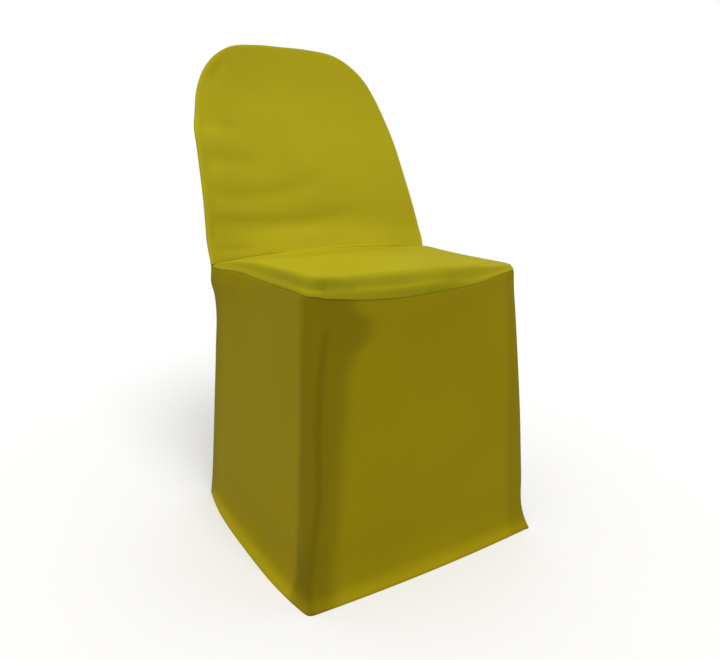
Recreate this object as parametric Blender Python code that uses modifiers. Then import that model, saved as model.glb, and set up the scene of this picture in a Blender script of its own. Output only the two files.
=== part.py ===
"""Stretch chair cover of four sewn panels, hollow inside, standing on the floor.

Metres, +Z up, front towards -Y. The origin is on the floor under the middle of the whole cover.
Each panel is an open surface that follows the tables below, thickened inwards by a Solidify.
"""
import bmesh
import bpy
import numpy as np

THICK = 0.002        # thickness of the knit
GAP = 0.0003         # between the edges of neighbouring panels
FORWARD = 0.055      # how far the middle of the seat lies in front of the origin
BACK_DEPTH = 0.018   # from the front face of the back to its rear face
WRAP = 0.013         # how far the rear panel comes round the side edge
HOLLOW = 1.067       # the back curves forward by this times x squared
CREASE_Z = 0.4640    # height of the seam where the back meets the seat
CREASE_DROP = 0.0040 # how far that seam drops at its ends
SEAT_Z = 0.4660      # height of the flat of the seat at the crease
LIFT = 0.0120        # how far the flat rises towards the front and the left
SEAM_Z = 0.4555      # height of the seam between seat and skirt at its rear ends
FAN_Z = 0.720        # rows of the back are level below this height and fan out above it
FAN_Y = -0.060       # rows of the seat are level behind this line and fan out before it

# Outline of the back and of the rear corners below it, from the top middle down to the floor.
# height, half width on the left, half width on the right
OUTLINE = (
    (0.8695, 0.0000, 0.0000),
    (0.8680, 0.0600, 0.0600),
    (0.8575, 0.1180, 0.1180),
    (0.8370, 0.1520, 0.1500),
    (0.8060, 0.1800, 0.1770),
    (0.7730, 0.1965, 0.1925),
    (0.7200, 0.2110, 0.2070),
    (0.7000, 0.2160, 0.2110),
    (0.6700, 0.2170, 0.2155),
    (0.6200, 0.2190, 0.2200),
    (0.5700, 0.2215, 0.2240),
    (0.5200, 0.2250, 0.2285),
    (0.5000, 0.2260, 0.2305),
    (0.4800, 0.2260, 0.2315),
    (0.4600, 0.2255, 0.2290),
    (0.4300, 0.2270, 0.2250),
    (0.4050, 0.2190, 0.2180),
    (0.3800, 0.2155, 0.2150),
    (0.3000, 0.2145, 0.2140),
    (0.2000, 0.2145, 0.2140),
    (0.1000, 0.2145, 0.2140),
    (0.0300, 0.2150, 0.2150),
    (0.0000, 0.2165, 0.2165),
)

# Side view of the rear face on the middle line, and how much it curves across.
# height, y of the middle, curve
REAR_LINE = (
    (0.000, 0.2240, 0.300),
    (0.030, 0.2130, 0.160),
    (0.100, 0.2020, 0.190),
    (0.200, 0.1920, 0.340),
    (0.300, 0.1880, 0.610),
    (0.400, 0.1890, 0.920),
    (0.460, 0.1930, HOLLOW),
    (0.480, 0.2020, HOLLOW),
    (0.500, 0.2100, HOLLOW),
    (0.520, 0.2155, HOLLOW),
    (0.570, 0.2320, HOLLOW),
    (0.620, 0.2520, HOLLOW),
    (0.670, 0.2720, HOLLOW),
    (0.720, 0.2920, HOLLOW),
    (0.770, 0.3090, HOLLOW),
    (0.800, 0.3160, HOLLOW),
    (0.830, 0.3210, HOLLOW),
    (0.870, 0.3265, HOLLOW),
)

# Skirt, read at heights from the floor up. The bows are how far a wall stands out between its corners.
# height, half width left, half width right, y of the front, side bow, front bow, corner, rear flare power
SKIRT = (
    (0.000, 0.2165, 0.2160, -0.2125, 0.0165, 0.0075, 0.009, 2.0),
    (0.012, 0.2145, 0.2150, -0.2100, 0.0115, 0.0045, 0.012, 2.0),
    (0.028, 0.2120, 0.2145, -0.2065, 0.0060, 0.0020, 0.017, 2.0),
    (0.100, 0.2080, 0.2150, -0.2020, 0.0030, 0.0010, 0.022, 2.0),
    (0.200, 0.2050, 0.2125, -0.1980, 0.0010, 0.0020, 0.024, 2.5),
    (0.300, 0.2020, 0.2090, -0.1920, 0.0000, 0.0060, 0.026, 3.0),
    (0.380, 0.2010, 0.2070, -0.1850, 0.0000, 0.0140, 0.028, 4.0),
    (0.430, 0.2000, 0.2060, -0.1790, 0.0000, 0.0240, 0.028, 5.0),
    (0.460, 0.2000, 0.2060, -0.1770, 0.0000, 0.0290, 0.028, 5.0),
)
FLICK = 0.005        # the hem's right front corner stands out by this much

# Seam round the seat: 0 is the left rear end, 1 to 2 the left front corner, 2 to 3 the front,
# 3 to 4 the right front corner and 5 the right rear end.
# place, height
SEAM = (
    (0.00, 0.4555),
    (0.12, 0.4557),
    (0.30, 0.4578),
    (0.55, 0.4545),
    (1.00, 0.4550),
    (1.50, 0.4527),
    (2.00, 0.4487),
    (2.20, 0.4425),
    (2.35, 0.4412),
    (2.50, 0.4425),
    (2.65, 0.4444),
    (2.80, 0.4480),
    (2.95, 0.4555),
    (3.15, 0.4575),
    (3.60, 0.4556),
    (5.00, 0.4555),
)

# Lip round the seat, read along its seam.
# place, width over which the flat turns down to the seam
LIP = (
    (0.0, 0.012),
    (0.5, 0.018),
    (0.9, 0.030),
    (1.5, 0.038),
    (2.2, 0.034),
    (2.5, 0.032),
    (2.8, 0.030),
    (3.1, 0.017),
    (3.5, 0.014),
    (4.1, 0.012),
    (4.5, 0.010),
    (5.0, 0.010),
)

# Section of the lip: a rolled ridge above the seam, then a steep rise that rounds over to the flat.
# share of the width from the seam, share of the rise
ROLL = (
    (0.00, 0.00),
    (0.05, 0.17),
    (0.12, 0.33),
    (0.22, 0.42),
    (0.29, 0.56),
    (0.35, 0.72),
    (0.45, 0.85),
    (0.65, 0.955),
    (1.00, 1.00),
)
HEM_EDGE = 0.0025    # the edge of the hem stands straight up by this much
LAST = 0.0008        # every panel runs straight into its seam over this length

# Folds on the front of the back, hollows that fade out at both ends.
# x and height of the left end, x and height of the right end, bow of the middle, depth, width
BACK_FOLDS = (
    (-0.235, 0.702, -0.110, 0.700, -0.003, 0.0028, 0.014),
    (-0.250, 0.644, -0.070, 0.628, 0.000, 0.0038, 0.018),
    (-0.240, 0.588, 0.060, 0.606, -0.027, 0.0046, 0.019),
    (-0.260, 0.540, 0.130, 0.534, -0.023, 0.0046, 0.018),
    (-0.230, 0.482, -0.120, 0.477, 0.000, 0.0014, 0.006),
    (-0.170, 0.780, -0.130, 0.834, 0.000, 0.0018, 0.011),
)

# Puckers on the seat, pulled towards its seam.
# x and y of one end, x and y of the other, bow of the middle, depth, width
SEAT_FOLDS = (
    (-0.158, -0.126, -0.123, -0.202, 0.000, 0.0032, 0.007),
    (0.178, -0.136, 0.018, -0.205, 0.000, 0.0036, 0.006),
)


def smooth(table, at, column):
    """One column of a table as a smooth curve over its first column."""
    rows = np.array(sorted(table))
    knots = rows[:, 0]
    values = rows[:, column]
    slopes = np.gradient(values, knots)
    k = np.clip(np.searchsorted(knots, at) - 1, 0, len(knots) - 2)
    step = knots[k + 1] - knots[k]
    s = np.clip((at - knots[k]) / step, 0.0, 1.0)
    start = (1 + 2 * s) * (1 - s) ** 2 * values[k] + s * (1 - s) ** 2 * step * slopes[k]
    end = s * s * (3 - 2 * s) * values[k + 1] - s * s * (1 - s) * step * slopes[k + 1]
    return start + end


def eased(value):
    """0 to 1, with a soft start and end."""
    value = np.clip(value, 0.0, 1.0)
    return value * value * (3 - 2 * value)


def outline_table():
    """The outline as one path, left side first: distance from the top middle, x, height."""
    height, left, right = np.array(OUTLINE).T
    run = np.concatenate([[0], np.cumsum(np.hypot(np.diff(left), np.diff(height)))])
    rows = [(-r, -x, z) for r, x, z in zip(run, left, height)]
    rows += [(r, x, z) for r, x, z in zip(run[1:], right[1:], height[1:])]
    return rows


PATH = outline_table()
PATH_START = -PATH[-1][0]


def folds(table, a, b):
    """Depth of the folds of a table at the places a, b on its panel."""
    total = np.zeros_like(a)
    for a0, b0, a1, b1, bow, depth, width in table:
        length = np.hypot(a1 - a0, b1 - b0)
        along = ((a - a0) * (a1 - a0) + (b - b0) * (b1 - b0)) / length ** 2
        along = np.clip(along, 0.0, 1.0)
        beside = ((b - b0) * (a1 - a0) - (a - a0) * (b1 - b0)) / length - 4 * bow * along * (1 - along)
        total = total + depth * (1 - (2 * along - 1) ** 4) ** 1.5 * np.exp(-((beside / width) ** 2))
    return total


def rear_y(x, z):
    """The rear face."""
    return smooth(REAR_LINE, z, 1) - smooth(REAR_LINE, z, 2) * x * x


def crease_z(x):
    """Height of the seam between the back and the seat."""
    return CREASE_Z - CREASE_DROP * np.clip(np.abs(x) / 0.2250, 0, 1) ** 4


def arch(place, across, inset, deep):
    """x and height on the back, and how far the edge has turned away from the face.

    place runs along the outline. across is 0 on the middle line, 1 where the edge begins to turn,
    2 where it has turned through a right angle and 3 at the seam.
    """
    x = smooth(PATH, place, 1)
    z = smooth(PATH, place, 2)
    ahead = np.clip(place + 0.0005, PATH_START + 0.001, -PATH_START)
    behind = ahead - 0.001
    run_x = smooth(PATH, ahead, 1) - smooth(PATH, behind, 1)
    run_z = smooth(PATH, ahead, 2) - smooth(PATH, behind, 2)
    length = np.hypot(run_x, run_z)
    out_x = -run_z / length
    out_z = run_x / length
    face_x = x - inset * out_x
    face_z = z - inset * out_z
    spine_z = np.minimum(z, FAN_Z)
    w = np.minimum(across, 1.0)
    turn = np.clip(across - 1.0, 0.0, 1.0) * np.pi / 2
    px = face_x * w + inset * out_x * np.sin(turn)
    pz = spine_z + (face_z - spine_z) * w + inset * out_z * np.sin(turn)
    return px, pz, (deep - LAST) * (1 - np.cos(turn)) + LAST * np.clip(across - 2.0, 0.0, 1.0)


def back_front_at(place, across):
    """Front of the back, down to the crease."""
    x, z, turned = arch(place, across, 0.006, BACK_DEPTH - WRAP - GAP / 2)
    z = z + (crease_z(x) - CREASE_Z) * np.clip((0.490 - z) / (0.490 - CREASE_Z), 0, 1)
    y = rear_y(x, z) - BACK_DEPTH + turned
    inside = eased((1.0 - across) / 0.07) * np.clip((z - crease_z(x) - 0.0014) / 0.004, 0, 1)
    y = y + folds(BACK_FOLDS, x, z) * inside
    return x, y, z


def rear_panel_at(place, across):
    """Rear of the cover, from the floor to the top of the arch."""
    x, z, turned = arch(place, across, 0.010, WRAP - GAP / 2)
    return x, rear_y(x, np.maximum(z, HEM_EDGE)) - turned, z


def plan(place, z):
    """x and y of the skirt at a place round it and a height."""
    left, right, front, side_bow, front_bow, corner, power = (smooth(SKIRT, z, k) for k in range(1, 8))
    hand = np.where(place < 2.5, -1.0, 1.0)
    half = np.where(hand < 0, left, right)
    rear_x = np.where(hand < 0, smooth(OUTLINE, z, 1), smooth(OUTLINE, z, 2))
    seam_y = rear_y(rear_x, z) - WRAP - GAP / 2
    side_long = seam_y - front
    at = np.where(hand < 0, place, 5.0 - place)

    def side(s):
        """The side wall, from the front corner at 0 to the rear seam at 1."""
        bowed = side_bow * (1 - np.abs(2 * s - 1) ** 3)
        flare = s ** power * (1 + power * (1 - s))
        return half + (rear_x - half) * flare + bowed, front + side_long * s

    def face(q):
        """The front wall, from the middle at 0 to the corner at 1."""
        return half * q, front - front_bow * (1 - q * q)

    start = corner / side_long
    end = 1 - corner / half
    x_side, y_side = side(start + (1 - start) * np.clip(1 - at, 0, 1))
    x_face, y_face = face(end * np.clip(1 - (at - 2) * 2, 0, 1))
    t = np.clip(at - 1, 0, 1)
    x_a, y_a = side(start)
    x_b, y_b = face(end)
    x_round = (1 - t) ** 2 * x_a + 2 * t * (1 - t) * half + t * t * x_b
    y_round = (1 - t) ** 2 * y_a + 2 * t * (1 - t) * front + t * t * y_b
    x = np.where(at <= 1, x_side, np.where(at < 2, x_round, x_face))
    y = np.where(at <= 1, y_side, np.where(at < 2, y_round, y_face))
    flick = FLICK * np.exp(-(((place - 3.4) / 0.22) ** 2)) * np.exp(-z / 0.012)
    return hand * x + flick * 0.8, y - flick * 0.6


def seam_z(place):
    """Height of the seam between the seat and the skirt."""
    return smooth(SEAM, place, 1)


def skirt_at(place, level):
    """Skirt. level is 0 on the floor and 1 at the seam with the seat."""
    z = level * (seam_z(place) - GAP / 2)
    x, y = plan(place, np.maximum(z, HEM_EDGE))
    return x, y, z


def seat_top_at(place, across):
    """Seat. place runs round its seam. across is 0 on the middle line, 1 over the seam and 2 at the seam."""
    last = LAST * np.clip(across - 1.0, 0.0, 1.0)
    across = np.minimum(across, 1.0)
    edge_z = seam_z(place) + GAP / 2 + LAST
    edge_x, edge_y = plan(place, edge_z)
    first_y = plan(np.zeros(1), np.full(1, SEAM_Z))[1][0]
    left_y = plan(np.minimum(place, 5 - place), np.full_like(place, SEAM_Z))[1]
    near = np.clip((left_y - FAN_Y) / (first_y - FAN_Y), 0, 1)
    crease_mid = rear_y(np.zeros(1), np.full(1, CREASE_Z))[0] - BACK_DEPTH
    spine_y = np.maximum(FAN_Y, left_y + (crease_mid - first_y) * near ** 2)
    x = edge_x * across
    y = spine_y + (edge_y - spine_y) * across + HOLLOW * edge_x ** 2 * across * (1 - across) * near ** 2
    seam_y = rear_y(x, crease_z(x)) - BACK_DEPTH
    y = y + (seam_y - crease_mid + HOLLOW * x * x) * near ** 2
    away = (1 - across) * np.hypot(edge_x, edge_y - spine_y)
    behind = np.maximum(seam_y - y, 0)
    lift = LIFT * eased((0.130 - y) / 0.130) * (1 - eased((x - 0.030) / 0.170))
    flat = SEAT_Z + lift - 0.0050 * np.exp(-behind / 0.012)
    share = np.clip(away / smooth(LIP, place, 1), 0, 1)
    z = edge_z + (flat - edge_z) * smooth(ROLL, share, 1)
    upturn = np.exp(-behind / 0.0015) * np.clip(away / 0.005, 0, 1)
    z = z * (1 - upturn) + (crease_z(x) - GAP * (1.5 + across ** 8)) * upturn
    z = z - folds(SEAT_FOLDS, x, y) * np.clip(away / 0.006, 0, 1)
    return x, y, z - last


def panel(name, at, rows, columns, colour, flip):
    """One panel: a grid whose points are moved on to its surface, thickened inwards."""
    bm = bmesh.new()
    bmesh.ops.create_grid(bm, x_segments=len(rows) - 1, y_segments=len(columns) - 1, size=0.5)
    grid = np.array([v.co for v in bm.verts]) + 0.5
    place = np.interp(grid[:, 0] * (len(rows) - 1), np.arange(len(rows)), rows)
    across = np.interp(grid[:, 1] * (len(columns) - 1), np.arange(len(columns)), columns)
    x, y, z = at(place, across)
    for vert, co in zip(bm.verts, np.stack([x, y - FORWARD, z], axis=1)):
        vert.co = co
    bmesh.ops.remove_doubles(bm, verts=bm.verts, dist=0.00001)
    if flip:
        bmesh.ops.reverse_faces(bm, faces=bm.faces)
    mesh = bpy.data.meshes.new(name)
    bm.to_mesh(mesh)
    bm.free()
    mesh.shade_smooth()
    obj = bpy.data.objects.new(name, mesh)
    cover.objects.link(obj)
    shell = obj.modifiers.new("Solidify", "SOLIDIFY")
    shell.thickness = THICK
    shell.offset = -1.0
    shell.use_even_offset = True
    material = bpy.data.materials.new(name)
    material.use_nodes = True
    shader = material.node_tree.nodes["Principled BSDF"]
    shader.inputs["Base Color"].default_value = (*colour, 1.0)
    shader.inputs["Roughness"].default_value = 0.85
    shader.inputs["Metallic"].default_value = 0.0
    mesh.materials.append(material)
    return obj


def spread(*parts):
    """Numbers in evenly spaced runs: start, then pairs of end and count."""
    numbers = [parts[0]]
    for end, count in zip(parts[1::2], parts[2::2]):
        numbers += list(np.linspace(numbers[-1], end, count + 1)[1:])
    return np.array(numbers)


def place_of(height):
    """Place along the left side of the outline at a height."""
    fine = np.linspace(PATH_START, 0.0, 4001)
    return float(np.interp(height, smooth(PATH, fine, 2), fine))


for old in list(bpy.data.objects):
    bpy.data.objects.remove(old)
cover = bpy.data.collections.new("stretch_chair_cover")
bpy.context.scene.collection.children.link(cover)

skirt_levels = spread(0.0, 0.0055, 1, 0.06, 3, 0.24, 3, 0.80, 6, 1.0, 5)
foot = place_of(CREASE_Z + GAP / 2)
fan = place_of(FAN_Z)
front_rows = spread(foot, foot + 0.0012, 1, fan, 32, -fan, 28, -foot - 0.0012, 32, -foot, 1)
front_columns = spread(0.0, 0.9, 9, 1.0, 2, 2.0, 3, 3.0, 1)
panel("back_front", back_front_at, front_rows, front_columns, (0.376, 0.325, 0.014), False)

rear_low = np.array([place_of(level * (SEAM_Z - GAP / 2)) for level in skirt_levels])
rear_rows = np.concatenate([rear_low, spread(foot, fan, 16, -fan, 28, -foot, 16), -rear_low[::-1]])
rear_columns = spread(0.0, 1.0, 8, 2.0, 3, 3.0, 1)
panel("rear_panel", rear_panel_at, rear_rows, rear_columns, (0.376, 0.325, 0.014), True)

seat_half = spread(0.0, 0.004, 1, 0.012, 1, 0.03, 1, 0.12, 2, 1.0, 8, 2.0, 5, 2.5, 6)
seat_rows = np.concatenate([seat_half, 5 - seat_half[-2::-1]])
seat_columns = np.array(
    [0, 0.12, 0.26, 0.40, 0.52, 0.63, 0.72, 0.79, 0.845]
    + [0.885, 0.912, 0.932, 0.95, 0.968, 0.985, 0.994, 1, 2]
)
panel("seat_top", seat_top_at, seat_rows, seat_columns, (0.468, 0.413, 0.014), True)

skirt_half = spread(0.0, 0.12, 2, 1.0, 8, 2.0, 5, 2.5, 6)
skirt_columns = np.concatenate([skirt_half, 5 - skirt_half[-2::-1]])
panel("skirt", skirt_at, skirt_columns, skirt_levels, (0.262, 0.213, 0.012), False)
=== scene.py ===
import math

import bmesh
import bpy
import numpy as np
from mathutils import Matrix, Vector
from mathutils.bvhtree import BVHTree


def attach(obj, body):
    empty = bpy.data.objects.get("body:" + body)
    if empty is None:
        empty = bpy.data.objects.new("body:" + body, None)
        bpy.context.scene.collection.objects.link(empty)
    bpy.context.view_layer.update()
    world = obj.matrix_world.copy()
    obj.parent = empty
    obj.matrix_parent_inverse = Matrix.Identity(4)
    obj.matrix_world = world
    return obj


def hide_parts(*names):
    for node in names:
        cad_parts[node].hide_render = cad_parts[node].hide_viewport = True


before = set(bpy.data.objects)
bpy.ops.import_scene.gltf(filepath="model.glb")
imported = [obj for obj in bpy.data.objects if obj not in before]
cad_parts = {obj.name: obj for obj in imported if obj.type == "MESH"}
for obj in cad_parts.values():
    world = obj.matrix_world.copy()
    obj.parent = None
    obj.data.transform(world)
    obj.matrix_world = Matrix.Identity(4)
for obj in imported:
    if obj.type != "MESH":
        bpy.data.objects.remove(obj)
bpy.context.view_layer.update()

# Front of the back. One arched piece cut from olive-yellow polyester and elastane knit, drawn tight so that
# it hollows across and wrinkles low down on the left. It is overlocked to the rear panel just round the
# edge of the arch, and to the seat along the crease.
knit_thick = 0.0010
seam_gap = 0.0003
seat_forward = 0.055
back_deep = 0.018
rear_wrap = 0.013
hollow = 1.067
crease_height = 0.4640
crease_drop = 0.0040
fan_height = 0.720
last_strip = 0.0008
furrow_wide = 0.0018
hem_deep = 0.022
hem_fold_round = 0.0012
hem_reach = 0.020
hem_blend = 0.009
knit_rib_scale = 0.314 / 0.0011
knit_course_scale = 0.314 / 0.0009

# height, half width on the left, half width on the right
back_outline = (
    (0.8695, 0.0000, 0.0000),
    (0.8680, 0.0600, 0.0600),
    (0.8575, 0.1180, 0.1180),
    (0.8370, 0.1520, 0.1500),
    (0.8060, 0.1800, 0.1770),
    (0.7730, 0.1965, 0.1925),
    (0.7200, 0.2110, 0.2070),
    (0.7000, 0.2160, 0.2110),
    (0.6700, 0.2170, 0.2155),
    (0.6200, 0.2190, 0.2200),
    (0.5700, 0.2215, 0.2240),
    (0.5200, 0.2250, 0.2285),
    (0.5000, 0.2260, 0.2305),
    (0.4800, 0.2260, 0.2315),
    (0.4600, 0.2255, 0.2290),
    (0.4300, 0.2270, 0.2250),
    (0.4050, 0.2190, 0.2180),
    (0.3800, 0.2155, 0.2150),
    (0.3000, 0.2145, 0.2140),
    (0.2000, 0.2145, 0.2140),
    (0.1000, 0.2145, 0.2140),
    (0.0300, 0.2150, 0.2150),
    (0.0000, 0.2165, 0.2165),
)

# height, y of the rear face on the middle line, how much it curves across
rear_line = (
    (0.000, 0.2240, 0.300),
    (0.030, 0.2130, 0.160),
    (0.100, 0.2020, 0.190),
    (0.200, 0.1920, 0.340),
    (0.300, 0.1880, 0.610),
    (0.400, 0.1890, 0.920),
    (0.460, 0.1930, hollow),
    (0.480, 0.2020, hollow),
    (0.500, 0.2100, hollow),
    (0.520, 0.2155, hollow),
    (0.570, 0.2320, hollow),
    (0.620, 0.2520, hollow),
    (0.670, 0.2720, hollow),
    (0.720, 0.2920, hollow),
    (0.770, 0.3090, hollow),
    (0.800, 0.3160, hollow),
    (0.830, 0.3210, hollow),
    (0.870, 0.3265, hollow),
)

# x and height of the left end, x and height of the right end, bow of the middle, depth, width
back_wrinkles = (
    (-0.235, 0.702, -0.110, 0.700, -0.003, 0.0028, 0.014),
    (-0.250, 0.644, -0.070, 0.628, 0.000, 0.0038, 0.018),
    (-0.240, 0.588, 0.060, 0.606, -0.027, 0.0046, 0.019),
    (-0.260, 0.540, 0.130, 0.534, -0.023, 0.0046, 0.018),
    (-0.230, 0.482, -0.120, 0.477, 0.000, 0.0014, 0.006),
    (-0.170, 0.780, -0.130, 0.834, 0.000, 0.0018, 0.011),
)


def measure(table, at, column):
    """One column of a table as a smooth curve over its first column."""
    rows = np.array(sorted(table))
    knots, values = rows[:, 0], rows[:, column]
    slopes = np.gradient(values, knots)
    k = np.clip(np.searchsorted(knots, at) - 1, 0, len(knots) - 2)
    step = knots[k + 1] - knots[k]
    s = np.clip((at - knots[k]) / step, 0.0, 1.0)
    start = (1 + 2 * s) * (1 - s) ** 2 * values[k] + s * (1 - s) ** 2 * step * slopes[k]
    end = s * s * (3 - 2 * s) * values[k + 1] - s * s * (1 - s) * step * slopes[k + 1]
    return start + end


def eased(value):
    """0 to 1, with a soft start and end."""
    value = np.clip(value, 0.0, 1.0)
    return value * value * (3 - 2 * value)


def hump(value, middle, width):
    """1 at the middle, falling off smoothly to both sides."""
    return np.exp(-(((value - middle) / width) ** 2))


def furrow(distance, deep):
    """How deep the cloth is drawn in at a distance from a seam."""
    return deep * hump(distance, 0.0, furrow_wide)


def soft_step(value, middle, width):
    """0 below the middle and 1 above it, blending over about four widths."""
    return 1 / (1 + np.exp(-(value - middle) / width))


def back_edge_path():
    """The outline as one path from the left foot over the arch: distance from the top, x, height."""
    height, left, right = np.array(back_outline).T
    run = np.concatenate([[0], np.cumsum(np.hypot(np.diff(left), np.diff(height)))])
    rows = [(-r, -x, z) for r, x, z in zip(run, left, height)]
    return rows + [(r, x, z) for r, x, z in zip(run[1:], right[1:], height[1:])]


edge_path = back_edge_path()
edge_start = -edge_path[-1][0]


def wrinkle_depth(table, a, b):
    """Depth of a table's wrinkles at the places a, b on a piece; each fades out at both ends."""
    total = np.zeros_like(a)
    for a0, b0, a1, b1, bow, depth, width in table:
        length = np.hypot(a1 - a0, b1 - b0)
        along = np.clip(((a - a0) * (a1 - a0) + (b - b0) * (b1 - b0)) / length ** 2, 0.0, 1.0)
        beside = ((b - b0) * (a1 - a0) - (a - a0) * (b1 - b0)) / length - 4 * bow * along * (1 - along)
        total = total + depth * (1 - (2 * along - 1) ** 4) ** 1.5 * np.exp(-((beside / width) ** 2))
    return total


def rear_face(x, z):
    """y of the rear face of the back."""
    return measure(rear_line, z, 1) - measure(rear_line, z, 2) * x * x


def crease_at(x):
    """Height of the seam between the back and the seat."""
    return crease_height - crease_drop * np.clip(np.abs(x) / 0.2250, 0, 1) ** 4


def along_arch(place, across, inset, deep):
    """x, height and how far the edge has turned away, for a place along the outline.

    across is 0 on the middle line, 1 where the edge begins to turn and 2 where it faces sideways.
    """
    x, z = measure(edge_path, place, 1), measure(edge_path, place, 2)
    ahead = np.clip(place + 0.0005, edge_start + 0.001, -edge_start)
    run_x = measure(edge_path, ahead, 1) - measure(edge_path, ahead - 0.001, 1)
    run_z = measure(edge_path, ahead, 2) - measure(edge_path, ahead - 0.001, 2)
    length = np.hypot(run_x, run_z)
    out_x, out_z = -run_z / length, run_x / length
    face_x, face_z = x - inset * out_x, z - inset * out_z
    spine_z = np.minimum(z, fan_height)
    w = np.minimum(across, 1.0)
    turn = np.clip(across - 1.0, 0.0, 1.0) * np.pi / 2
    px = face_x * w + inset * out_x * np.sin(turn)
    pz = spine_z + (face_z - spine_z) * w + inset * out_z * np.sin(turn)
    turned = (deep - last_strip) * (1 - np.cos(turn)) + last_strip * np.clip(across - 2.0, 0.0, 1.0)
    return px, pz, turned, out_x, out_z


def even_steps(*parts):
    """Numbers in evenly spaced runs: start, then pairs of end and count."""
    numbers = [parts[0]]
    for end, count in zip(parts[1::2], parts[2::2]):
        numbers += list(np.linspace(numbers[-1], end, count + 1)[1:])
    return np.array(numbers)


def both_ways(half, middle):
    """Places of the left half, then the same ones mirrored past the middle."""
    return np.concatenate([half, 2 * middle - half[-2::-1]])


def edge_place(height):
    """Place along the left side of the outline at a height."""
    fine = np.linspace(edge_start, 0.0, 4001)
    return float(np.interp(height, measure(edge_path, fine, 2), fine))


def cut_panel(name, lay, rows, columns, flip, cloth, hem=False):
    """A piece of knit: a grid laid on its surface, tucked into its seams, with its foot turned up as a hem.

    lay gives x, y, z, the place on the flat cloth in metres, how deep the surface is tucked in, and
    the light and shade painted on the knit there.
    """
    bm = bmesh.new()
    bmesh.ops.create_grid(bm, x_segments=len(rows) - 1, y_segments=len(columns) - 1, size=0.5)
    grid = np.array([v.co for v in bm.verts]) + 0.5
    place = np.interp(grid[:, 0] * (len(rows) - 1), np.arange(len(rows)), rows)
    across = np.interp(grid[:, 1] * (len(columns) - 1), np.arange(len(columns)), columns)
    x, y, z, flat_x, flat_y, tuck, light = lay(place, across)
    layers = bm.verts.layers.float
    held = [layers.new(word) for word in ("flat_x", "flat_y", "tuck", "light")]
    spots = np.stack([x, y - seat_forward, z], axis=1)
    for vert, co, facts in zip(bm.verts, spots, zip(flat_x, flat_y, tuck, light)):
        vert.co = co
        for layer, fact in zip(held, facts):
            vert[layer] = fact
    bmesh.ops.remove_doubles(bm, verts=bm.verts, dist=0.00001)
    if flip:
        bmesh.ops.reverse_faces(bm, faces=bm.faces)
    bm.normal_update()
    for vert in bm.verts:
        vert.co -= vert.normal * vert[held[2]]
    if hem:
        turn_up_hem(bm, held[1])
    weave = bm.loops.layers.uv.new("weave")
    for face in bm.faces:
        for corner in face.loops:
            corner[weave].uv = (corner.vert[held[0]], corner.vert[held[1]])
    mesh = bpy.data.meshes.new(name)
    bm.to_mesh(mesh)
    bm.free()
    mesh.shade_smooth()
    piece = bpy.data.objects.new(name, mesh)
    bpy.context.scene.collection.objects.link(piece)
    wall = piece.modifiers.new("knit thickness", "SOLIDIFY")
    wall.thickness = knit_thick
    wall.offset = -1.0
    wall.use_even_offset = True
    mesh.materials.append(cloth)
    return piece


def turn_up_hem(bm, flat_y):
    """Folds the foot of a piece inwards and up behind its wall, as one cloth, with a small round fold."""
    wall = BVHTree.FromBMesh(bm)
    foot = [edge for edge in bm.edges if edge.is_boundary and max(v.co.z for v in edge.verts) < 0.0005]
    inward = bm.verts.layers.float_vector.new("inward")
    start = bm.verts.layers.float_vector.new("start")
    bm.verts.index_update()
    low = sorted({v for edge in foot for v in edge.verts}, key=lambda v: v.index)
    spots = np.array([v.co for v in low])
    facing = np.array([v.normal for v in low])
    for vert in low:
        near = np.exp(-(((spots - np.array(vert.co)) / hem_blend) ** 2).sum(axis=1))
        out = near @ facing
        vert[inward] = -Vector((out[0], out[1], 0.0)).normalized()
        vert[start] = vert.co
    fold = hem_fold_round
    steps = [(0.3, 0.0), (1.0, -0.2), (1.7, 0.0), (2.0, 0.7)]
    steps += [(2.0, share * hem_deep / fold) for share in (0.2, 0.4, 0.6, 0.8, 1.0)]
    for across, up in steps:
        made = bmesh.ops.extrude_edge_only(bm, edges=foot)["geom"]
        for vert in (part for part in made if isinstance(part, bmesh.types.BMVert)):
            spot = Vector(vert[start]) + Vector((0.0, 0.0, up * fold))
            back = Vector(vert[inward])
            if up > 0.5:
                met = wall.ray_cast(spot + back * hem_reach, -back, 2 * hem_reach)[0]
                met = met or wall.find_nearest(spot)[0]
                spot = Vector((met.x, met.y, spot.z))
            vert.co = spot + back * across * fold
            vert[flat_y] = -abs(across) * fold - max(up, 0.0) * fold
        foot = [part for part in made if isinstance(part, bmesh.types.BMEdge)]


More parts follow.
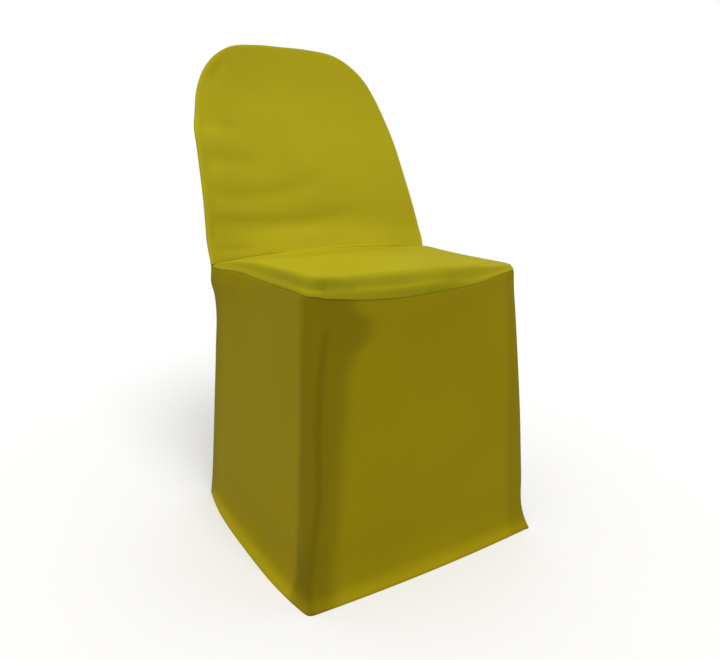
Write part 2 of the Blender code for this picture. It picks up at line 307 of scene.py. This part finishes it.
def knit_cloth(name, colour):
    """Matte olive knit: fine ribs and courses, soft colour variation, and painted light and shade from the
    light attribute.
    """
    cloth = bpy.data.materials.new(name)
    cloth.use_nodes = True
    nodes, links = cloth.node_tree.nodes, cloth.node_tree.links
    shader = nodes["Principled BSDF"]
    shader.inputs["Roughness"].default_value = 0.78
    shader.inputs["Specular IOR Level"].default_value = 0.05
    shader.inputs["Sheen Weight"].default_value = 0.02
    shader.inputs["Sheen Roughness"].default_value = 0.4
    shader.inputs["Sheen Tint"].default_value = (0.80, 0.72, 0.10, 1.0)

    def make(kind, *sources, **values):
        node = nodes.new(kind)
        for word, value in values.items():
            if hasattr(node, word):
                setattr(node, word, value)
            else:
                node.inputs[word.replace("_", " ").title()].default_value = value
        for number, source in enumerate(sources):
            if source is not None:
                links.new(source, node.inputs[number])
        return node

    weave = make("ShaderNodeUVMap", uv_map="weave").outputs["UV"]
    place = make("ShaderNodeTexCoord").outputs["Object"]
    ribs = make("ShaderNodeTexWave", weave, scale=knit_rib_scale, distortion=0.5, detail=0.0)
    ribs.bands_direction = "X"
    courses = make("ShaderNodeTexWave", weave, scale=knit_course_scale, distortion=0.4, detail=0.0)
    courses.bands_direction = "Y"
    loops = make("ShaderNodeMath", ribs.outputs["Fac"], courses.outputs["Fac"], operation="MULTIPLY")
    fuzz = make("ShaderNodeTexNoise", weave, scale=900.0, detail=2.0)
    yarn = make("ShaderNodeMath", fuzz.outputs["Fac"], None, loops.outputs["Value"])
    yarn.operation = "MULTIPLY_ADD"
    yarn.inputs[1].default_value = 0.5
    bump = make("ShaderNodeBump", strength=0.25, distance=0.00025)
    links.new(yarn.outputs["Value"], bump.inputs["Height"])
    links.new(bump.outputs["Normal"], shader.inputs["Normal"])
    patches = make("ShaderNodeTexNoise", place, scale=7.0, detail=3.0)
    tone = make("ShaderNodeMapRange", patches.outputs["Fac"])
    depth = make("ShaderNodeMapRange", yarn.outputs["Value"])
    for node, low, high, least, most in ((tone, 0.3, 0.7, 0.97, 1.03), (depth, 0.0, 1.2, 0.94, 1.04)):
        node.inputs["From Min"].default_value = low
        node.inputs["From Max"].default_value = high
        node.inputs["To Min"].default_value = least
        node.inputs["To Max"].default_value = most
    light = make("ShaderNodeAttribute", attribute_name="light").outputs["Fac"]
    level = make("ShaderNodeMath", tone.outputs["Result"], depth.outputs["Result"], operation="MULTIPLY")
    level = make("ShaderNodeMath", level.outputs["Value"], light, operation="MULTIPLY")
    dye = make("ShaderNodeVectorMath", operation="SCALE")
    dye.inputs[0].default_value = colour
    links.new(level.outputs["Value"], dye.inputs["Scale"])
    links.new(dye.outputs["Vector"], shader.inputs["Base Color"])
    return cloth


def lay_back_front(place, across):
    """The front of the back: its hollow, its wrinkles low on the left and its painted light and shade."""
    x, z, turned, out_x, out_z = along_arch(place, across, 0.006, back_deep - rear_wrap - seam_gap / 2)
    z = z + (crease_at(x) - crease_height) * np.clip((0.490 - z) / (0.490 - crease_height), 0, 1)
    y = rear_face(x, z) - back_deep + turned
    inside = eased((1.0 - across) / 0.07) * np.clip((z - crease_at(x) - 0.0014) / 0.004, 0, 1)
    folded = wrinkle_depth(back_wrinkles, x, z) * inside
    below = wrinkle_depth(back_wrinkles, x, z - 0.001) * inside
    y = y + folded
    to_seam = np.where(across > 1, (3.0 - across) * 0.0035, 1.0)
    to_crease = z - crease_at(x)
    line = eased((x + 0.180) / 0.060) * (1 - eased((x + 0.080) / 0.060))
    tuck = furrow(to_seam, 0.0004) + 0.0004 * line * hump(to_crease, 0.0, 0.0016)
    # Painted light: the back lighter low down above the crease, most across the middle.
    painted_light_middle = eased((x + 0.175) / 0.060) * (1 - 0.6 * eased((x - 0.150) / 0.050))
    # Painted shade and highlight on the wrinkles: darker above each furrow, lighter below it.
    painted_fold_shading = 0.05 * (folded - below) / 0.001
    painted_light_above_crease = (0.07 + 0.11 * painted_light_middle) * (1 - eased((z - 0.490) / 0.055))
    # Painted light: a lighter strip along the left edge, and a lighter patch at the left on the top
    # wrinkle.
    painted_left_edge_light = 0.06 * (1 - eased((x + 0.195) / 0.040)) * eased((z - 0.520) / 0.060)
    painted_left_patch_light = 0.11 * hump(z, 0.702, 0.017) * (1 - eased((x + 0.175) / 0.040))
    # Painted highlight along the crease, from the middle to the right, against its shadow line.
    painted_crease_highlight = 0.40 * hump(to_crease, 0.0, 0.0020) * eased((x + 0.110) / 0.080)
    light = (1 + painted_fold_shading + painted_light_above_crease) * (1 + painted_left_edge_light) * (1 + painted_left_patch_light) * (1 + painted_crease_highlight)
    return x, y, z, x + out_x * turned, z + out_z * turned, tuck, light


foot_place = edge_place(crease_height + seam_gap / 2)
fan_place = edge_place(fan_height)
back_half = even_steps(foot_place, foot_place + 0.0012, 1, fan_place, 96, 0.0, 55)
back_cloth = knit_cloth("olive knit back", (0.335, 0.285, 0.008))
back_front = cut_panel(
    "back_front_cloth",
    lay_back_front,
    both_ways(back_half, 0.0),
    even_steps(0.0, 1.0, 56, 2.0, 6, 3.0, 1),
    False,
    back_cloth,
)
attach(back_front, "root")
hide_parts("back_front")

# Rear panel. One length of the same knit from the top of the arch to the floor, wrapped round both side
# edges of the back. It is overlocked to the front of the back and, below the seat, to the skirt at both
# rear corners, and its foot is turned up as a hem.
hem_edge = 0.0025


def lay_rear_panel(place, across):
    """The rear: plain from the arch to the floor, its edges turned forward round the sides."""
    x, z, turned, out_x, out_z = along_arch(place, across, 0.010, rear_wrap - seam_gap / 2)
    y = rear_face(x, np.maximum(z, hem_edge)) - turned
    to_seam = np.where(across > 1, (3.0 - across) * 0.009, 1.0)
    tuck = furrow(to_seam, 0.0004)
    # Painted shade: the rear panel darker below the seat.
    light = 1 - 0.28 * (1 - eased((z - 0.380) / 0.100))
    return x, y, z, x + out_x * turned, z + out_z * turned, tuck, light


rear_half = even_steps(edge_start, edge_start + 0.02, 6, foot_place, 100, fan_place, 64, 0.0, 50)
rear_cloth = knit_cloth("olive knit rear", (0.335, 0.285, 0.008))
rear_panel = cut_panel(
    "rear_panel_cloth",
    lay_rear_panel,
    both_ways(rear_half, 0.0),
    even_steps(0.0, 1.0, 50, 2.0, 8, 3.0, 1),
    True,
    rear_cloth,
    hem=True,
)
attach(rear_panel, "root")
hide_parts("rear_panel")

# Skirt. One length of the same knit run round the front and both sides, from the seat's seam down to
# the floor. It is overlocked to the seat along its top and to the rear panel at both ends, hollows a
# little under the front edge, and its foot is turned up as a hem that stands out a little.
seam_rear_height = 0.4555
hem_flick = 0.005

# height, half width left, half width right, y of the front, side bow, front bow, corner, rear flare power
skirt_shape = (
    (0.000, 0.2165, 0.2160, -0.2125, 0.0165, 0.0075, 0.009, 2.0),
    (0.012, 0.2145, 0.2150, -0.2100, 0.0115, 0.0045, 0.012, 2.0),
    (0.028, 0.2120, 0.2145, -0.2065, 0.0060, 0.0020, 0.017, 2.0),
    (0.100, 0.2080, 0.2150, -0.2020, 0.0030, 0.0010, 0.022, 2.0),
    (0.200, 0.2050, 0.2125, -0.1980, 0.0010, 0.0020, 0.024, 2.5),
    (0.300, 0.2020, 0.2090, -0.1920, 0.0000, 0.0060, 0.026, 3.0),
    (0.380, 0.2010, 0.2070, -0.1850, 0.0000, 0.0140, 0.028, 4.0),
    (0.430, 0.2000, 0.2060, -0.1790, 0.0000, 0.0240, 0.028, 5.0),
    (0.460, 0.2000, 0.2060, -0.1770, 0.0000, 0.0290, 0.028, 5.0),
)

# place round the seat's seam, height of the seam
seam_heights = (
    (0.00, 0.4555),
    (0.12, 0.4557),
    (0.30, 0.4578),
    (0.55, 0.4545),
    (1.00, 0.4550),
    (1.50, 0.4527),
    (2.00, 0.4487),
    (2.20, 0.4425),
    (2.35, 0.4412),
    (2.50, 0.4425),
    (2.65, 0.4444),
    (2.80, 0.4480),
    (2.95, 0.4555),
    (3.15, 0.4575),
    (3.60, 0.4556),
    (5.00, 0.4555),
)

# Painted shade, a darker band round the left front corner: height, x where it ends on the front, x of its
# darkest line
painted_corner_band = np.array((
    (0.000, -0.1750, -0.2130),
    (0.020, -0.1745, -0.2110),
    (0.156, -0.1580, -0.1920),
    (0.266, -0.1470, -0.1886),
    (0.331, -0.1400, -0.1830),
    (0.365, -0.1280, -0.1780),
    (0.384, -0.1060, -0.1750),
    (0.410, -0.1010, -0.1700),
    (0.430, -0.1250, -0.1700),
    (0.460, -0.1400, -0.1700),
))


def skirt_plan(place, z):
    """x and y of the skirt. place is 0 at the left rear seam, 1 to 2 round the left front corner,
    2 to 3 across the front, 3 to 4 round the right front corner and 5 at the right rear seam."""
    columns = (measure(skirt_shape, z, k) for k in range(1, 8))
    left, right, front, side_bow, front_bow, corner, power = columns
    hand = np.where(place < 2.5, -1.0, 1.0)
    half = np.where(hand < 0, left, right)
    rear_x = np.where(hand < 0, measure(back_outline, z, 1), measure(back_outline, z, 2))
    side_long = rear_face(rear_x, z) - rear_wrap - seam_gap / 2 - front
    at = np.where(hand < 0, place, 5.0 - place)

    def side(s):
        bowed = side_bow * (1 - np.abs(2 * s - 1) ** 3)
        flare = s ** power * (1 + power * (1 - s))
        return half + (rear_x - half) * flare + bowed, front + side_long * s

    def face(q):
        return half * q, front - front_bow * (1 - q * q)

    start, end = corner / side_long, 1 - corner / half
    x_side, y_side = side(start + (1 - start) * np.clip(1 - at, 0, 1))
    x_face, y_face = face(end * np.clip(1 - (at - 2) * 2, 0, 1))
    t = np.clip(at - 1, 0, 1)
    x_a, y_a = side(start)
    x_b, y_b = face(end)
    x_round = (1 - t) ** 2 * x_a + 2 * t * (1 - t) * half + t * t * x_b
    y_round = (1 - t) ** 2 * y_a + 2 * t * (1 - t) * front + t * t * y_b
    x = np.where(at <= 1, x_side, np.where(at < 2, x_round, x_face))
    y = np.where(at <= 1, y_side, np.where(at < 2, y_round, y_face))
    flick = hem_flick * hump(place, 3.4, 0.22) * np.exp(-z / 0.012)
    return hand * x + flick * 0.8, y - flick * 0.6


def seat_seam_height(place):
    """Height of the seam between the seat and the skirt."""
    return measure(seam_heights, place, 1)


def skirt_run(place):
    """Distance round the skirt at a place, in metres of cloth."""
    fine = np.linspace(0.0, 5.0, 2001)
    x, y = skirt_plan(fine, np.full_like(fine, 0.2))
    run = np.concatenate([[0], np.cumsum(np.hypot(np.diff(x), np.diff(y)))])
    return np.interp(place, fine, run)


def lay_skirt(place, level):
    """The skirt: level is 0 at the floor and 1 at the seat's seam."""
    z = level * (seat_seam_height(place) - seam_gap / 2)
    x, y = skirt_plan(place, np.maximum(z, hem_edge))
    run = skirt_run(place)
    to_seam = seat_seam_height(place) - z
    to_end = np.minimum(run - run.min(), run.max() - run)
    tuck = furrow(to_seam, 0.0010) + furrow(to_end, 0.0004)
    # Painted shade: a darker band round the left front corner, with a darker line in it.
    edge = np.interp(z, painted_corner_band[:, 0], painted_corner_band[:, 1])
    line = np.interp(z, painted_corner_band[:, 0], painted_corner_band[:, 2])
    on_front = soft_step(-(y - seat_forward), 0.2200, 0.0030) * ((place > 0.5) & (place < 2.5))
    painted_corner_shade = 0.32 * soft_step(-x, -edge, 0.0060) * on_front
    painted_corner_shade_line = 0.12 * hump(x, line, 0.006) * on_front * (1 - eased((z - 0.385) / 0.035))
    # Painted shade: a darker strip near the right front corner.
    painted_right_shade = 0.14 * soft_step(x, 0.170, 0.003) * (place > 2.5)
    on_side = 1 - eased((np.minimum(place, 5 - place) - 0.9) / 0.8)
    on_side = on_side * np.where(place < 2.5, 1.0, 0.2)
    # Painted light: the side walls lighter, mostly on the left, less so higher up.
    side = on_side * (0.18 - 0.08 * z / 0.45)
    # Painted shade: darker at the left rear end of the skirt.
    painted_rear_end_shade = 0.10 * (1 - eased(place / 0.14))
    # Painted highlight: the hem band lighter, more on the sides.
    hem = (0.32 + 0.12 * on_side) * eased((0.027 - z) / 0.020)
    # Painted shade: the last few millimetres at the floor darker.
    foot = 0.14 * eased((0.005 - z) / 0.004)
    # Painted shadow: darker just under the seat's seam, along the front.
    painted_shade_under_lip = 0.30 * hump(to_seam, 0.0, 0.0030) * hump(place, 2.1, 0.45)
    light = (1 - painted_corner_shade - painted_corner_shade_line) * (1 - painted_right_shade) * (1 + side) * (1 - painted_rear_end_shade)
    light = light * (1 + hem - foot) * (1 - painted_shade_under_lip)
    return x, y, z, run, z, tuck, light


skirt_half = even_steps(0.0, 0.12, 12, 1.0, 80, 2.0, 24, 2.5, 50)
# Painted shade: the skirt's base colour is darker than the back's, for upright walls that get less light
# from above.
skirt_cloth = knit_cloth("olive knit skirt painted darker", (0.214, 0.166, 0.001))
skirt = cut_panel(
    "skirt_cloth",
    lay_skirt,
    both_ways(skirt_half, 2.5),
    even_steps(0.0, 0.0055, 2, 0.06, 10, 0.24, 20, 0.80, 50, 1.0, 24),
    False,
    skirt_cloth,
    hem=True,
)
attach(skirt, "root")
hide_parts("skirt")

# Top of the seat. One D-shaped piece of the same knit, drawn flat and taut, whose edge turns down as a
# soft lip. It is overlocked to the skirt along the lip and to the back along the crease.
seat_height = 0.4660
seat_lift = 0.0120
seat_fan = -0.060

# place round the seam, width over which the flat turns down to it
lip_width = (
    (0.0, 0.012),
    (0.5, 0.018),
    (0.9, 0.030),
    (1.5, 0.038),
    (2.2, 0.034),
    (2.5, 0.032),
    (2.8, 0.030),
    (3.1, 0.017),
    (3.5, 0.014),
    (4.1, 0.012),
    (4.5, 0.010),
    (5.0, 0.010),
)

# share of that width from the seam, share of the rise
lip_roll = (
    (0.00, 0.00),
    (0.05, 0.17),
    (0.12, 0.33),
    (0.22, 0.42),
    (0.29, 0.56),
    (0.35, 0.72),
    (0.45, 0.85),
    (0.65, 0.955),
    (1.00, 1.00),
)

# share of that width from the seam, painted light and shade on the lip along the front, and at the corners
# and side
painted_lip_light = (
    (0.00, 0.48, 0.52),
    (0.05, 0.48, 0.64),
    (0.09, 0.50, 0.64),
    (0.14, 0.57, 0.51),
    (0.21, 0.62, 0.46),
    (0.31, 0.52, 0.46),
    (0.40, 0.56, 0.50),
    (0.50, 0.67, 0.62),
    (0.65, 0.80, 0.80),
    (0.85, 0.95, 0.95),
    (1.00, 1.00, 1.00),
)

# place round the seam, how strongly the painted shade darkens the lip, how much of the corners' pattern it
# has
painted_lip_dark = (
    (0.0, 0.35, 1.0),
    (0.5, 0.60, 1.0),
    (0.9, 0.72, 1.0),
    (1.4, 0.80, 1.0),
    (1.75, 1.00, 1.0),
    (1.95, 1.05, 0.8),
    (2.15, 0.90, 0.0),
    (2.35, 0.95, 0.0),
    (2.5, 0.80, 0.1),
    (2.7, 0.74, 0.8),
    (3.1, 0.46, 1.0),
    (5.0, 0.35, 1.0),
)

# x and y of one end, x and y of the other, bow of the middle, depth, width
seat_puckers = (
    (-0.158, -0.126, -0.123, -0.202, 0.000, 0.0032, 0.007),
    (0.178, -0.136, 0.018, -0.205, 0.000, 0.0036, 0.006),
)


def lay_seat_top(place, across):
    """The seat: across is 0 on the middle line and 1 where the lip ends at the seam."""
    last = last_strip * np.clip(across - 1.0, 0.0, 1.0)
    across = np.minimum(across, 1.0)
    edge_z = seat_seam_height(place) + seam_gap / 2 + last_strip
    edge_x, edge_y = skirt_plan(place, edge_z)
    first_y = skirt_plan(np.zeros(1), np.full(1, seam_rear_height))[1][0]
    left_y = skirt_plan(np.minimum(place, 5 - place), np.full_like(place, seam_rear_height))[1]
    near = np.clip((left_y - seat_fan) / (first_y - seat_fan), 0, 1)
    crease_mid = rear_face(np.zeros(1), np.full(1, crease_height))[0] - back_deep
    spine_y = np.maximum(seat_fan, left_y + (crease_mid - first_y) * near ** 2)
    x = edge_x * across
    y = spine_y + (edge_y - spine_y) * across + hollow * edge_x ** 2 * across * (1 - across) * near ** 2
    seam_y = rear_face(x, crease_at(x)) - back_deep
    y = y + (seam_y - crease_mid + hollow * x * x) * near ** 2
    away = (1 - across) * np.hypot(edge_x, edge_y - spine_y)
    behind = np.maximum(seam_y - y, 0)
    lift = seat_lift * eased((0.130 - y) / 0.130) * (1 - eased((x - 0.030) / 0.170))
    flat = seat_height + lift - 0.0050 * np.exp(-behind / 0.012)
    share = np.clip(away / measure(lip_width, place, 1), 0, 1)
    z = edge_z + (flat - edge_z) * measure(lip_roll, share, 1)
    upturn = np.exp(-behind / 0.0015) * np.clip(away / 0.005, 0, 1)
    y = y + 0.0003 * upturn * (1 - eased((x - 0.020) / 0.080))
    z = z * (1 - upturn) + (crease_at(x) + 0.0001 - seam_gap * across ** 8) * upturn
    pucker = wrinkle_depth(seat_puckers, x, y) * np.clip(away / 0.006, 0, 1)
    z = z - pucker
    to_seam = away + last_strip - last
    tuck = furrow(to_seam, 0.0010)
    # Painted light and shade on the lip, blended between the front's and the corners' patterns.
    corner = np.clip(measure(painted_lip_dark, place, 2), 0, 1)
    shade = measure(painted_lip_light, share, 1) * (1 - corner) + measure(painted_lip_light, share, 2) * corner
    painted_lip_shade = measure(painted_lip_dark, place, 1) * (1 - shade)
    # Painted shade: the seat darker towards the right.
    painted_shade_to_right = 0.06 * eased((x + 0.050) / 0.150)
    # Painted shade: darker close to the seam, just right of the front middle.
    painted_seam_shade = 0.25 * hump(away, 0.0, 0.005) * hump(place, 2.55, 0.15)
    # Painted highlight along the crease, from the middle to the right, against its shadow line.
    painted_crease_highlight = 0.40 * np.exp(-behind / 0.0020) * eased((x + 0.110) / 0.080)
    # Painted shade: the puckers darker along their hollows (the 22 * pucker term).
    light = (1 - painted_lip_shade) * (1 - 22 * pucker) * (1 - painted_shade_to_right) * (1 - painted_seam_shade) * (1 + painted_crease_highlight)
    return x, y, z - last, x, y, tuck, light


seat_half = even_steps(0.0, 0.004, 1, 0.012, 2, 0.03, 3, 0.12, 10, 1.0, 60, 2.0, 24, 2.5, 50)
# Painted light: the seat's base colour is lighter than the back's, for the top that faces the light from
# above.
seat_cloth = knit_cloth("olive knit top painted lighter", (0.425, 0.368, 0.008))
seat_top = cut_panel(
    "seat_top_cloth",
    lay_seat_top,
    both_ways(seat_half, 2.5),
    np.concatenate([even_steps(0.0, 0.80, 40, 0.95, 16, 0.993, 10, 1.0, 3), [2.0]]),
    True,
    seat_cloth,
)
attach(seat_top, "root")
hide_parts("seat_top")

# Floor, lights and camera. A plain pale floor under an even sky, one wide soft light from above on the
# camera's side, and the camera where the photograph's was.
bm = bmesh.new()
bmesh.ops.create_grid(bm, x_segments=1, y_segments=1, size=60.0)
floor_mesh = bpy.data.meshes.new("floor")
bm.to_mesh(floor_mesh)
bm.free()
floor = bpy.data.objects.new("floor", floor_mesh)
bpy.context.scene.collection.objects.link(floor)
paint = bpy.data.materials.new("pale floor")
paint.use_nodes = True
paint.node_tree.nodes["Principled BSDF"].inputs["Base Color"].default_value = (0.88, 0.88, 0.88, 1.0)
paint.node_tree.nodes["Principled BSDF"].inputs["Roughness"].default_value = 0.9
floor_mesh.materials.append(paint)

world = bpy.data.worlds.new("studio")
world.use_nodes = True
world.node_tree.nodes["Background"].inputs["Color"].default_value = (1.0, 1.0, 1.0, 1.0)
seen = world.node_tree.nodes.new("ShaderNodeLightPath")
sky = world.node_tree.nodes.new("ShaderNodeMapRange")
sky.inputs["To Min"].default_value = 0.65
sky.inputs["To Max"].default_value = 1.0
world.node_tree.links.new(seen.outputs["Is Camera Ray"], sky.inputs["Value"])
world.node_tree.links.new(sky.outputs["Result"], world.node_tree.nodes["Background"].inputs["Strength"])
bpy.context.scene.world = world
bpy.context.scene.view_settings.view_transform = "Standard"

softbox = bpy.data.lights.new("softbox", "SUN")
softbox.energy = 1.9
softbox.angle = math.radians(35)
key = bpy.data.objects.new("softbox", softbox)
key.rotation_euler = Vector((0.12, 0.50, -0.86)).to_track_quat("-Z", "Y").to_euler()
bpy.context.scene.collection.objects.link(key)

lens = bpy.data.cameras.new("camera")
lens.sensor_width = 36.0
lens.lens = 651.5 * 36 / 720
lens.shift_y = -70 / 720
camera = bpy.data.objects.new("camera", lens)
camera.location = (-0.593, -1.014, 0.638)
camera.rotation_euler = (math.radians(90 - 8.67), 0.0, math.radians(-31.72))
bpy.context.scene.collection.objects.link(camera)
bpy.context.scene.camera = camera
